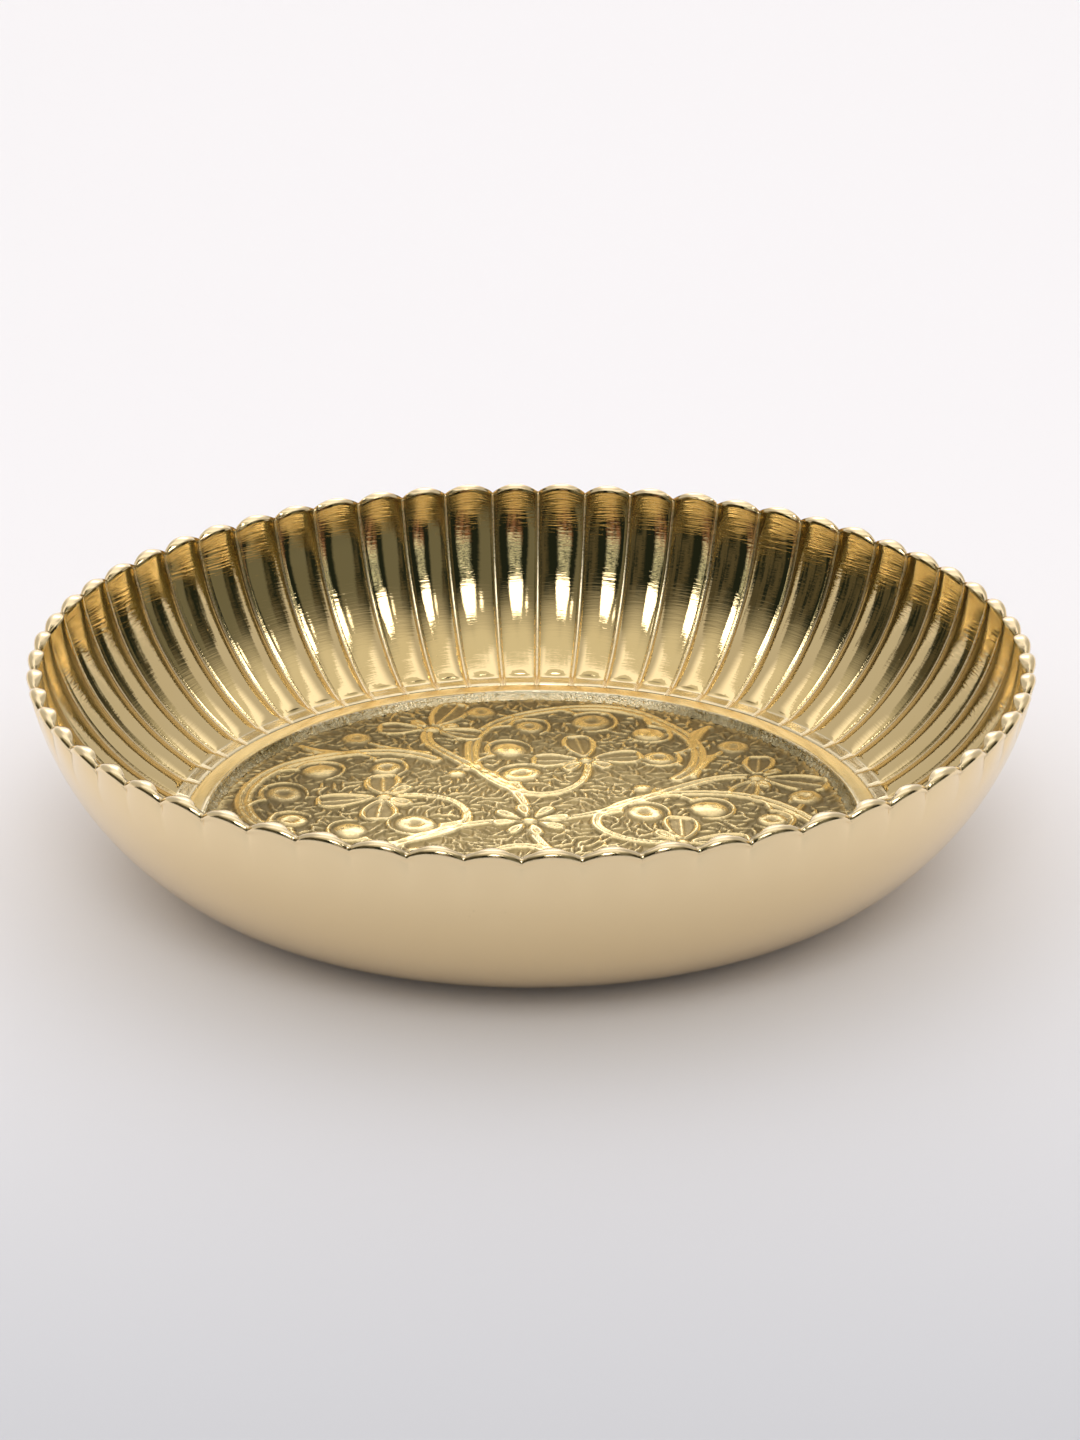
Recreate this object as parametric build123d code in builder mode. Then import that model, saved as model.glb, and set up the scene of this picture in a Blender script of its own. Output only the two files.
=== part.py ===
from build123d import *
import os
from math import asin, cos, degrees, radians, sin, sqrt, tan

# A shallow cast brass bowl-tray: plain outside, sixty raised lobes inside, a beaded rim, and a
# flat floor that carries an embossed disc under a turned ring.
# Millimetres. Z = 0 is the plane the tray rests on, and +Z is the turning axis.

# ---------------------------------------------------------------- driving dimensions
rim_radius = 100.0  # outside of the rim, over the beads
rim_height = 42.5  # top of the beads above the table
lobe_count = 60  # lobes on the inside wall, each with one bead on the rim above it

# Outside of the bowl in a radial plane: base circle, then where sole, bilge and flank meet
base_radius = 56.0
sole_end = (68.0, 1.3)
bilge_end = (80.0, 7.2)

# Underside, turned hollow so that the tray rests on a flat ring
hollow_radius = 46.0
hollow_depth = 0.8

# Inside wall between the lobes: one arc in every radial plane
wall_centre = (52.9, 46.3)
wall_radius = 45.2

# Lobes: round-backed ribs that run down the wall and stop short at the foot
lobe_radius = 9.5
lobe_height = 0.8
lobe_height_top = 1.2  # they swell a little towards the rim
lobe_foot_radius = 73.8

# V-grooves cut between the lobes, shallower towards the foot, running out at the ring
groove_angle = 105.0  # between the groove's flanks
groove_depth_top = 0.4
groove_depth_foot = 0.3

# Plain band at the foot of the lobes
band_outer_radius = 73.9
band_rise = 0.75

# Flat turned ring, and the embossed disc that it frames
ring_outer_radius = 70.4
ring_inner_radius = 66.5
ring_top = 5.4
ring_thickness = 1.5
ring_bevel = 0.2
disc_radius = 67.7
disc_thickness = 1.4
solder_thickness = 0.25
solder_radius = 65.0

# Notches between the beads: one across the top of the rim, one down its outside
notch_half_width = 4.9
notch_crown = 1.3  # the bead's crown, above the notch's bottom
notch_shoulder = 0.85  # the bead's shoulder halfway along, above the notch's bottom
top_notch_slope = 4.0  # degrees, falling outwards
top_notch_length = 6.0
side_notch_depth = 0.95
side_notch_lean = 4.0  # degrees inwards; the wall leans more, so the notch runs out of it
side_notch_length = 12.0

# Relief on the disc: four scrolling vines, each curled round a flower
relief_height = 0.8
vine_width = 2.0
stalk_width = 1.2
scroll_count = 4
scroll_turn = -2.1  # degrees; the disc sits slightly turned against the lobes
scroll_centre = (10.5, 35.0)
scroll_radius = 24.0
scroll_start = -36.0  # degrees round the scroll's centre
scroll_sweep = 251.0
scroll_tail = ((-7.5, 15), (4, 10.5), (12.5, 14.5))  # guides the scroll's end in to its flower
stem_guide = ((5, 0), (18, 2), (30, 12), (33, 24))  # from the rosette out to the spray
bud_ring_radius = 16.5
bud_radius = 3.1
bud_count = 6
bud_start = -14.0  # degrees round the same centre
bud_step = 47.0
flower_centre = (11.2, 30.0)
flower_petals = ((97, 13.4, 7.8), (176, 11.2, 6.8), (8, 10.8, 6.6))  # direction, length, width
spray_centre = (47.0, 21.0)
spray_petals = ((86, 10.8, 7.4), (-112, 10.2, 7.2), (-20, 14.6, 7.4))
loose_buds = ((42.8, 37.6), (57.2, 10.6), (24.2, 16.6))
loose_bud_radius = 2.9
bud_stalks = (((33, 20), (35.5, 31)), ((52, -4), (54, 3)))  # guides of the first two loose buds' stalks
rosette_petals = 8
rosette_petal = (6.0, 3.4)  # length, width

# ---------------------------------------------------------------- derived sizes
lobe_angle = 360 / lobe_count
crest_radius = wall_radius - lobe_height
ring_bottom = ring_top - ring_thickness
disc_bottom = ring_bottom - disc_thickness
pocket_floor = disc_bottom - solder_thickness
rim_inner_radius = wall_centre[0] + sqrt(wall_radius**2 - (wall_centre[1] - rim_height) ** 2)
wall_foot_height = wall_centre[1] - sqrt(wall_radius**2 - (band_outer_radius - wall_centre[0]) ** 2)
lobe_foot_angle = 90 - degrees(asin((lobe_foot_radius - wall_centre[0]) / crest_radius))
groove_foot_angle = 90 - degrees(asin((ring_outer_radius - wall_centre[0]) / wall_radius))
middle_angle = groove_foot_angle / 2
groove_half_angle = radians(groove_angle / 2)

# Allowances of the cutters and ribs
top_angle = -4.0  # past level, so that lobes and grooves run out through the rim
clear = 3.0  # how far a cutter stands proud of what it cuts
groove_reach = 1.5  # the groove cutter's flanks, above its bottom


def on_wall(angle, inset):
    """Radius and height of a point `inset` inside the wall arc, `angle` degrees below level."""
    reach = wall_radius - inset
    return (wall_centre[0] + reach * cos(radians(angle)), wall_centre[1] - reach * sin(radians(angle)))


def in_plane(angle, inset):
    """The same point, in the radial plane through the X axis."""
    radius, height = on_wall(angle, inset)
    return (radius, 0, height)


def bead_notch(plane, length):
    """Prism that leaves a round-shouldered bead on each side of it."""
    half = notch_half_width
    with BuildPart() as notch:
        with BuildSketch(plane):
            with BuildLine():
                ThreePointArc((0, 0), (half / 2, notch_shoulder), (half, notch_crown))
                Polyline((half, notch_crown), (half, clear), (-half, clear), (-half, notch_crown))
                ThreePointArc((-half, notch_crown), (-half / 2, notch_shoulder), (0, 0))
            make_face()
        extrude(amount=length, both=True)
    return notch.part


# ---------------------------------------------------------------- shape of the lobes
with BuildPart() as lobe_core:
    core_inset = lobe_height - lobe_radius
    with BuildLine() as core_path:
        ThreePointArc(
            in_plane(lobe_foot_angle, core_inset),
            in_plane(middle_angle, core_inset),
            in_plane(top_angle, core_inset + lobe_height_top - lobe_height),
        )
    with BuildSketch(Plane(origin=core_path.line @ 0, z_dir=core_path.line % 0)):
        Circle(lobe_radius)
    sweep(path=core_path.line)

with BuildPart() as groove_cutter:
    with BuildLine() as groove_path:
        ThreePointArc(
            in_plane(groove_foot_angle, -groove_depth_foot),
            in_plane(middle_angle, -(groove_depth_top + groove_depth_foot) / 2),
            in_plane(top_angle, -groove_depth_top),
        )
    with BuildSketch(Plane(origin=groove_path.line @ 0, x_dir=(0, 1, 0), z_dir=groove_path.line % 0)):
        groove_spread = groove_reach * tan(groove_half_angle)
        Polygon(
            (0, 0),
            (groove_spread, groove_reach),
            (-groove_spread, groove_reach),
            align=None,
        )
    sweep(path=groove_path.line)

# The room inside the bowl, with the lobes standing into it
with BuildPart() as room:
    with BuildSketch(Plane.XZ):
        with BuildLine():
            Polyline(
                (0, ring_top),
                (ring_outer_radius, ring_top),
                (band_outer_radius, ring_top + band_rise),
                (band_outer_radius, wall_foot_height),
            )
            ThreePointArc(
                (band_outer_radius, wall_foot_height),
                on_wall(middle_angle, 0),
                (rim_inner_radius, rim_height),
            )
            Polyline(
                (rim_inner_radius, rim_height),
                (rim_inner_radius, rim_height + clear),
                (0, rim_height + clear),
                (0, ring_top),
            )
        make_face()
    revolve(axis=Axis.Z)
    with PolarLocations(0, lobe_count):
        add(lobe_core.part, mode=Mode.SUBTRACT)

top_notch = bead_notch(
    Plane(
        origin=(rim_inner_radius, 0, rim_height - notch_crown),
        x_dir=(0, 1, 0),
        z_dir=(cos(radians(top_notch_slope)), 0, -sin(radians(top_notch_slope))),
    ),
    top_notch_length,
)
side_notch = bead_notch(
    Plane(
        origin=(rim_radius - side_notch_depth, 0, rim_height),
        x_dir=(0, 1, 0),
        z_dir=(-sin(radians(side_notch_lean)), 0, -cos(radians(side_notch_lean))),
    ),
    side_notch_length,
)

# ---------------------------------------------------------------- lobed bowl
with BuildPart() as lobed_bowl:
    with BuildSketch(Plane.XZ):
        with BuildLine():
            Polyline(
                (0, hollow_depth),
                (hollow_radius, hollow_depth),
                (hollow_radius + hollow_depth, 0),
                (base_radius, 0),
            )
            sole = TangentArc((base_radius, 0), sole_end, tangent=(1, 0))
            bilge = TangentArc(sole @ 1, bilge_end, tangent=sole % 1)
            flank = TangentArc(bilge @ 1, (rim_radius, rim_height), tangent=bilge % 1)
            Polyline(
                flank @ 1,
                (0, rim_height),
                (0, hollow_depth),
            )
        make_face()
    revolve(axis=Axis.Z)
    add(room.part, mode=Mode.SUBTRACT)
    with BuildSketch(Plane.XZ):
        with BuildLine():
            Polyline(
                (0, ring_top),
                (ring_outer_radius, ring_top),
                (ring_outer_radius, ring_bottom),
                (disc_radius, ring_bottom),
                (disc_radius, pocket_floor),
                (0, pocket_floor),
                close=True,
            )
        make_face()
    revolve(axis=Axis.Z, mode=Mode.SUBTRACT)
    with PolarLocations(0, lobe_count, start_angle=lobe_angle / 2):
        add(groove_cutter.part, mode=Mode.SUBTRACT)
    with PolarLocations(0, lobe_count, start_angle=lobe_angle / 2):
        add(top_notch, mode=Mode.SUBTRACT)
    with PolarLocations(0, lobe_count, start_angle=lobe_angle / 2):
        add(side_notch, mode=Mode.SUBTRACT)

# ---------------------------------------------------------------- turned ring
with BuildPart() as floor_ring:
    with BuildSketch(Plane.XY.offset(ring_bottom)):
        Circle(ring_outer_radius)
        Circle(ring_inner_radius, mode=Mode.SUBTRACT)
    extrude(amount=ring_thickness)
    ring_top_edges = floor_ring.edges().group_by(Axis.Z)[-1]
    chamfer(ring_top_edges.sort_by(SortBy.LENGTH)[0], length=ring_bevel)


# ---------------------------------------------------------------- embossed disc
def petals(centre, rows):
    """Petals round a flower's centre, each given by direction, length and width."""
    for direction, length, width in rows:
        with Locations(Location(centre, direction)):
            with Locations((length / 2, 0)):
                Ellipse(length / 2, width / 2)


with BuildSketch(Plane.XY.offset(ring_bottom)) as scroll:
    with BuildLine():
        Bezier(*stem_guide, spray_centre)
    trace(line_width=vine_width)
    with BuildLine():
        vine = CenterArc(scroll_centre, scroll_radius, scroll_start, scroll_sweep)
        Bezier(vine @ 1, *scroll_tail, flower_centre)
    trace(line_width=vine_width)
    with Locations(scroll_centre):
        with PolarLocations(bud_ring_radius, bud_count, bud_start, bud_step * bud_count):
            Circle(bud_radius)
            with Locations(((scroll_radius - bud_ring_radius) / 2, 0)):
                Rectangle(scroll_radius - bud_ring_radius, stalk_width)
    petals(flower_centre, flower_petals)
    petals(spray_centre, spray_petals)
    for stalk, bud in zip(bud_stalks, loose_buds):
        with BuildLine():
            Bezier(*stalk, bud)
        trace(line_width=stalk_width)
    with Locations(*loose_buds):
        Circle(loose_bud_radius)

with BuildPart() as floor_medallion:
    with BuildSketch(Plane.XY.offset(disc_bottom)):
        Circle(disc_radius)
    extrude(amount=disc_thickness)
    with BuildSketch(Plane.XY.offset(ring_bottom)):
        with PolarLocations(0, scroll_count, start_angle=scroll_turn):
            add(scroll.sketch)
        petals((0, 0), [(i * 360 / rosette_petals, *rosette_petal) for i in range(rosette_petals)])
    extrude(amount=relief_height)

# ---------------------------------------------------------------- solder under the disc
with BuildPart() as solder_bed:
    with BuildSketch(Plane.XY.offset(pocket_floor)):
        Circle(solder_radius)
    extrude(amount=solder_thickness)

# ---------------------------------------------------------------- write the pieces
pieces = {
    "lobed_bowl": lobed_bowl,
    "floor_ring": floor_ring,
    "floor_medallion": floor_medallion,
    "solder_bed": solder_bed,
}
os.makedirs("parts", exist_ok=True)
for name, piece in pieces.items():
    piece.part.label = name
    export_step(piece.part, f"parts/{name}.step")
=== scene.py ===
import bpy
from math import atan2, cos, degrees, hypot, pi, radians, sin, sqrt
import numpy as np
from mathutils import Matrix, Vector


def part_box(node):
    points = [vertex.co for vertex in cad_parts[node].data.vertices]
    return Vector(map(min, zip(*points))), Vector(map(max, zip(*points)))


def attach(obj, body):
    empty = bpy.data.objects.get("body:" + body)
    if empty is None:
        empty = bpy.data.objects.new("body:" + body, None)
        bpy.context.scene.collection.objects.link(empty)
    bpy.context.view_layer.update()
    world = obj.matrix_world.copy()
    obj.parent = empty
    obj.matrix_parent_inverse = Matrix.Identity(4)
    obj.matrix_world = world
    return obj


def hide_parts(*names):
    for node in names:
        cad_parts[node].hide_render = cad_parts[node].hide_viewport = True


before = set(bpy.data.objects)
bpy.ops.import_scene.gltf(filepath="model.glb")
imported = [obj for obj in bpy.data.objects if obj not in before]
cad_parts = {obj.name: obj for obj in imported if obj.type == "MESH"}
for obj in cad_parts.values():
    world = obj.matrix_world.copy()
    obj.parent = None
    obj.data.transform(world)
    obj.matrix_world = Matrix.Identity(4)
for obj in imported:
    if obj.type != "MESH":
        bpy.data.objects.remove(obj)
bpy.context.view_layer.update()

# ------------------------------------------------------------------ sizes, mm unless noted
(low, high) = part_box("lobed_bowl")
RIM_R, RIM_Z = 100.0, 42.5
MM = (high[0] - low[0]) / (2 * RIM_R)  # metres per millimetre of the CAD part
LOBES = 60
PITCH = 2 * pi / LOBES
FIRST_GROOVE = PITCH / 2
ARC_X, ARC_Z, GROUND_R = 52.9, 46.3, 45.2  # the inside wall's arc, between the lobes
HOLLOW_R, HOLLOW_DEPTH, BASE_R = 46.0, 0.8, 56.0  # the underside
SOLE_END, BILGE_END = (68, 1.3), (80, 7.2)  # where the outside's three arcs meet
RING_OUT, RING_IN, RING_TOP, RING_BOTTOM = 70.4, 66.5, 5.4, 3.9
DISC_R, DISC_BOTTOM, POCKET = 67.7, 2.5, 2.25
LOBE_END, BAND_END, BAND_RISE = 73.8, 73.9, 0.85
RELIEF = 0.8
CREST = 0.8  # how far a lobe stands out from the arc
TOP_SWELL = 0.4  # lobes stand this much prouder at the rim
GROOVE_DEPTH = 0.42  # below the arc, at the rim
NOTCH_OUT, NOTCH_IN, NOTCH_SIDE = 1.6, 1.9, 0.95  # drop at the outer and inner edge, and set-back
VIEW_TURN = radians(2.08)  # the viewer's and the disc's place, turned against the lobes
rng = np.random.default_rng(11)


# ------------------------------------------------------------------ mesh helpers
def grid_mesh(name, points, uv=None, cap=False):
    """Quad mesh from points[row, column]; columns wrap round, and caps close the first and last row."""
    rows, cols = points.shape[:2]
    index = np.arange(rows * cols).reshape(rows, cols)
    following = np.roll(index, -1, axis=1)
    quads = np.stack([index[:-1], following[:-1], following[1:], index[1:]], -1).reshape(-1, 4)
    faces = quads.tolist()
    verts = (points.reshape(-1, 3) * MM).tolist()
    if cap:
        faces.append(index[0][::-1].tolist())
        faces.append(index[-1].tolist())
    mesh = bpy.data.meshes.new(name)
    mesh.from_pydata(verts, [], faces)
    if uv is not None:
        layer = mesh.uv_layers.new(name="UVMap")
        u, v = uv
        wrapped = (np.concatenate([u, u[:, :1] + LOBES], axis=1), np.concatenate([v, v[:, :1]], axis=1))
        flat = np.zeros((len(mesh.loops), 2))
        for axis, w in enumerate(wrapped):
            corners = np.stack([w[:-1, :-1], w[:-1, 1:], w[1:, 1:], w[1:, :-1]], -1).reshape(-1)
            flat[: len(corners), axis] = corners
        layer.data.foreach_set("uv", flat.ravel())
    mesh.validate()
    return mesh


def add_piece(name, mesh, material, node):
    """Smooth-shaded object that rides on the tray and stands for one CAD node."""
    obj = bpy.data.objects.new(name, mesh)
    bpy.context.scene.collection.objects.link(obj)
    mesh.materials.append(material)
    mesh.shade_smooth()
    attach(obj, "root")
    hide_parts(node)
    return obj


def tangent_arc(start, direction, end, count):
    """Points of the arc that leaves start along direction and passes through end."""
    (x0, z0), (x1, z1) = start, end
    dx, dz = direction
    nx, nz = -dz, dx
    radius = ((x1 - x0) ** 2 + (z1 - z0) ** 2) / (2 * ((x1 - x0) * nx + (z1 - z0) * nz))
    cx, cz = x0 + nx * radius, z0 + nz * radius
    a0, a1 = atan2(z0 - cz, x0 - cx), atan2(z1 - cz, x1 - cx)
    angles = np.linspace(a0, a1, count)
    pts = np.stack([cx + radius * np.cos(angles), cz + radius * np.sin(angles)], -1)
    return pts, (-sin(a1), cos(a1))


def smooth_step(x):
    x = np.clip(x, 0, 1)
    return x * x * (3 - 2 * x)


def uneven(x, y, scale, seed):
    """Smooth random field from a few crossed waves, about -1 to 1."""
    dice = np.random.default_rng(seed)
    total = np.zeros_like(x)
    for _ in range(10):
        a, k, p = dice.uniform(0, pi), scale * dice.uniform(0.7, 1.6), dice.uniform(0, 2 * pi)
        total += np.sin(k * (x * cos(a) + y * sin(a)) + p)
    return total / 4.5


# ------------------------------------------------------------------ materials
class Nodes:
    """Small builder so that a material reads as a list of steps."""

    def __init__(self, name):
        self.material = bpy.data.materials.new(name)
        self.material.use_nodes = True
        self.nt = self.material.node_tree
        self.nt.nodes.clear()
        self.out = self.add("ShaderNodeOutputMaterial")
        self.bsdf = self.add("ShaderNodeBsdfPrincipled")
        self.link(self.bsdf, "BSDF", self.out, "Surface")
        self.coords = self.add("ShaderNodeTexCoord")

    def add(self, kind, **values):
        node = self.nt.nodes.new(kind)
        for key, value in values.items():
            setattr(node, key, value)
        return node

    def link(self, a, out, b, into):
        self.nt.links.new(a.outputs[out], b.inputs[into])

    def feed(self, node, socket, value):
        if isinstance(value, tuple) and hasattr(value[0], "outputs"):
            self.nt.links.new(value[0].outputs[value[1]], node.inputs[socket])
        else:
            node.inputs[socket].default_value = value

    def stretch(self, source, scale):
        node = self.add("ShaderNodeMapping")
        self.feed(node, "Vector", source)
        node.inputs["Scale"].default_value = scale
        return (node, "Vector")

    def noise(self, vector, scale, detail=4.0, rough=0.55, distortion=0.0):
        node = self.add("ShaderNodeTexNoise")
        self.feed(node, "Vector", vector)
        node.inputs["Scale"].default_value = scale
        node.inputs["Detail"].default_value = detail
        node.inputs["Roughness"].default_value = rough
        node.inputs["Distortion"].default_value = distortion
        return (node, "Fac")

    def voronoi(self, vector, scale):
        node = self.add("ShaderNodeTexVoronoi", feature="F1")
        self.feed(node, "Vector", vector)
        node.inputs["Scale"].default_value = scale
        return (node, "Distance")

    def ramp(self, value, low_in, high_in, low_out=0.0, high_out=1.0):
        node = self.add("ShaderNodeMapRange", interpolation_type="SMOOTHSTEP")
        self.feed(node, "Value", value)
        node.inputs["From Min"].default_value = low_in
        node.inputs["From Max"].default_value = high_in
        node.inputs["To Min"].default_value = low_out
        node.inputs["To Max"].default_value = high_out
        return (node, "Result")

    def math(self, operation, a, b=0.0):
        node = self.add("ShaderNodeMath", operation=operation)
        self.feed(node, 0, a)
        self.feed(node, 1, b)
        return (node, "Value")

    def mix(self, factor, a, b):
        node = self.add("ShaderNodeMix", data_type="RGBA")
        self.feed(node, "Factor", factor)
        self.feed(node, 6, a)
        self.feed(node, 7, b)
        return (node, 2)

    def split(self, vector):
        node = self.add("ShaderNodeSeparateXYZ")
        self.feed(node, "Vector", vector)
        return [(node, "X"), (node, "Y"), (node, "Z")]

    def product(self, a, b):
        return self.math("MULTIPLY", a, b)

    def total(self, a, b):
        return self.math("ADD", a, b)

    def distance_from_axis(self, vector):
        x, y, _ = self.split(vector)
        return self.math("SQRT", self.total(self.product(x, x), self.product(y, y)))

    def bump(self, height, strength, distance, normal=None):
        node = self.add("ShaderNodeBump")
        self.feed(node, "Height", height)
        node.inputs["Strength"].default_value = strength
        node.inputs["Distance"].default_value = distance
        if normal:
            self.feed(node, "Normal", normal)
        return (node, "Normal")


BRASS = (0.93, 0.73, 0.39, 1)
BRASS_WARM = (0.90, 0.66, 0.30, 1)
BRASS_PALE = (0.93, 0.765, 0.50, 1)
BRASS_SATIN = (0.92, 0.745, 0.475, 1)
BRASS_FOOT = (0.93, 0.81, 0.56, 1)
TARNISH = (0.50, 0.40, 0.22, 1)
# dark tone for the underside: old tarnish, and painted shade on the sole next to the floor
TARNISH_AND_FLOOR_SHADE = (0.34, 0.24, 0.11, 1)
DIRT = (0.40, 0.26, 0.10, 1)


def polished_brass():
    m = Nodes("polished_brass")
    obj = (m.coords, "Object")
    uv = (m.coords, "UV")
    u, v, _ = m.split(uv)
    across = m.math("PINGPONG", u, 0.5)  # 0 in a groove, 0.5 on a lobe's back
    # v marks the place along the bowl's profile, as Bowl sets it: 0 to 99 outside, above 105 inside
    inside, outside = m.ramp(v, 100.0, 101.0), m.ramp(v, 99.0, 96.0)
    # under: the underside and the sole next to the floor; its dark tone is old tarnish and painted shade
    under = m.ramp(v, 54.0, 51.0)
    rim = m.product(m.ramp(v, 97.3, 97.6), m.ramp(v, 99.2, 98.9))
    top = m.product(inside, m.ramp(v, 117.0, 108.0))
    foot = m.ramp(v, 149.9, 150.2)
    # grooves keep a little dirt and casting skin that the polishing wheel misses
    groove = m.product(m.ramp(across, 0.088, 0.060), inside)
    # line: a thin strip along each groove's bottom, painted pale as a highlight
    line = m.product(m.ramp(across, 0.030, 0.012), inside)
    grain = m.noise(obj, 2600.0, 2.0, 0.7)
    blotch = m.noise(obj, 35.0, 5.0, 0.6, 0.6)
    dirt = m.product(groove, m.ramp(blotch, 0.30, 0.72, 0.15, 0.60))
    tone = m.mix(m.ramp(blotch, 0.35, 0.75, 0.0, 0.30), BRASS, BRASS_WARM)
    for mask, share, colour in (
        (outside, 0.75, BRASS_SATIN), (dirt, 0.55, DIRT), (under, 0.85, TARNISH_AND_FLOOR_SHADE),
        (rim, 0.7, BRASS_PALE), (foot, 0.8, BRASS_FOOT), (top, 0.6, TARNISH),
    ):
        tone = m.mix(m.product(mask, share), tone, colour)
    # painted highlight: the groove bottoms get the pale brass
    m.feed(m.bsdf, "Base Color", m.mix(line, tone, BRASS_PALE))
    m.bsdf.inputs["Metallic"].default_value = 1.0
    smear = m.noise(obj, 60.0, 4.0, 0.6, 0.4)
    rough = m.ramp(smear, 0.35, 0.75, 0.015, 0.045)
    rough = m.total(rough, m.product(groove, m.ramp(grain, 0.3, 0.7, 0.06, 0.16)))
    for mask, extra in ((line, 0.16), (outside, 0.13), (under, 0.20), (rim, 0.10), (foot, 0.10)):
        rough = m.total(rough, m.product(mask, extra))
    m.feed(m.bsdf, "Roughness", rough)
    # fine lines left across the lobes by the polishing wheel
    lines = m.noise(m.stretch(uv, (1.6, 1.9, 1.0)), 1.0, 1.6, 0.62, 0.1)
    hair = m.noise(m.stretch(uv, (5.0, 14.0, 1.0)), 1.0, 1.0, 0.6)
    polish = m.product(lines, m.ramp(blotch, 0.35, 0.65, 0.45, 1.0))
    polish = m.product(polish, m.product(inside, m.ramp(v, 118.0, 138.0, 1.0, 0.5)))
    normal = m.bump(polish, 0.60, 0.00010)
    normal = m.bump(hair, 0.12, 0.00004, normal)
    # turning marks outside, casting skin in the grooves, and pits
    turned = m.noise(m.stretch(uv, (0.22, 4.0, 1.0)), 1.0, 4.0, 0.7)
    normal = m.bump(m.product(turned, outside), 0.35, 0.00008, normal)
    sand = m.product(groove, m.ramp(v, 120.0, 148.0, 0.4, 1.0))
    normal = m.bump(m.product(grain, sand), 0.6, 0.00014, normal)
    pits = m.ramp(m.voronoi(obj, 420.0), 0.055, 0.03)
    sparse = m.ramp(m.noise(obj, 90.0, 1.0), 0.60, 0.66)
    normal = m.bump(m.product(m.product(pits, sparse), -1.0), 0.7, 0.0002, normal)
    m.feed(m.bsdf, "Normal", normal)
    return m.material


def turned_brass():
    m = Nodes("turned_brass")
    obj = (m.coords, "Object")
    _, y, _ = m.split(obj)
    radius = m.distance_from_axis(obj)
    skin = m.ramp(radius, (RING_IN + 0.20) * MM, (RING_IN - 0.10) * MM)
    blotch = m.noise(obj, 45.0, 4.0, 0.6, 0.5)
    tone = m.mix(m.ramp(blotch, 0.35, 0.7, 0.3, 0.9), (0.95, 0.82, 0.56, 1), (0.98, 0.91, 0.70, 1))
    # the recess keeps its dark casting skin; a painted highlight makes it bright on the far (+Y) side only
    recess = m.mix(m.ramp(y, 0.052, 0.062), (0.30, 0.25, 0.13, 1), (0.90, 0.78, 0.52, 1))
    colour = m.mix(m.product(skin, m.ramp(blotch, 0.3, 0.7, 0.65, 1.0)), tone, recess)
    m.feed(m.bsdf, "Base Color", colour)
    m.bsdf.inputs["Metallic"].default_value = 1.0
    wave = m.noise(obj, 28.0, 2.0, 0.5)
    rough = m.total(m.ramp(blotch, 0.3, 0.7, 0.16, 0.24), m.product(skin, -0.11))
    m.feed(m.bsdf, "Roughness", rough)
    rings = m.add("ShaderNodeCombineXYZ")
    m.feed(rings, "X", m.product(radius, 9000.0))
    turning = m.noise((rings, "Vector"), 1.0, 2.0)
    normal = m.bump(turning, 0.05, 0.00003)
    facets = m.voronoi(obj, 150.0)
    normal = m.bump(m.total(wave, m.product(facets, 0.5)), 0.16, 0.0008, normal)
    normal = m.bump(m.product(m.noise(obj, 700.0, 3.0, 0.7), skin), 1.0, 0.0010, normal)
    m.feed(m.bsdf, "Normal", normal)
    return m.material


def embossed_brass():
    m = Nodes("embossed_brass")
    obj = (m.coords, "Object")
    _, _, z = m.split(obj)
    height = m.math("DIVIDE", m.math("SUBTRACT", z, RING_BOTTOM * MM), RELIEF * MM)
    blotch = m.noise(obj, 55.0, 5.0, 0.65, 0.5)
    grain = m.noise(obj, 1500.0, 3.0, 0.7)
    worn = m.total(height, m.ramp(blotch, 0.3, 0.7, -0.14, 0.14))
    worn = m.total(worn, m.ramp(grain, 0.3, 0.7, -0.08, 0.08))
    radius = m.distance_from_axis(obj)
    edge = m.product(m.ramp(radius, 62.8 * MM, 64.6 * MM), m.ramp(blotch, 0.35, 0.6, 0.35, 0.8))
    bright = m.math("MAXIMUM", m.ramp(worn, 0.30, 0.88), edge)
    ground = m.mix(m.ramp(blotch, 0.35, 0.65), (0.50, 0.38, 0.175, 1), (0.34, 0.255, 0.11, 1))
    raised = m.mix(m.ramp(blotch, 0.4, 0.8), (0.99, 0.82, 0.46, 1), (0.96, 0.74, 0.36, 1))
    # the middle is rubbed clean, and the patina thickens towards the edge
    old = m.product(m.ramp(radius, 16 * MM, 60 * MM), m.ramp(blotch, 0.25, 0.75, 1.0, 0.75))
    ground = m.mix(old, ground, (0.18, 0.135, 0.06, 1))
    raised = m.mix(old, raised, (0.66, 0.51, 0.24, 1))
    m.feed(m.bsdf, "Base Color", m.mix(bright, ground, raised))
    m.feed(m.bsdf, "Metallic", m.ramp(bright, 0.0, 1.0, 0.85, 1.0))
    rough = m.total(m.ramp(bright, 0.0, 1.0, 0.38, 0.13), m.ramp(grain, 0.3, 0.7, -0.04, 0.06))
    rough = m.total(rough, m.product(old, 0.07))
    m.feed(m.bsdf, "Roughness", rough)
    normal = m.bump(grain, 0.30, 0.00008)
    normal = m.bump(m.noise(obj, 420.0, 3.0, 0.6), 0.22, 0.00018, normal)
    m.feed(m.bsdf, "Normal", normal)
    return m.material


def solder_metal():
    m = Nodes("solder")
    obj = (m.coords, "Object")
    blotch = m.noise(obj, 160.0, 4.0, 0.6)
    m.feed(m.bsdf, "Base Color", m.mix(blotch, (0.46, 0.46, 0.45, 1), (0.60, 0.60, 0.58, 1)))
    m.bsdf.inputs["Metallic"].default_value = 1.0
    m.feed(m.bsdf, "Roughness", m.ramp(blotch, 0.3, 0.7, 0.35, 0.6))
    m.feed(m.bsdf, "Normal", m.bump(blotch, 0.3, 0.0002))
    return m.material


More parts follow.
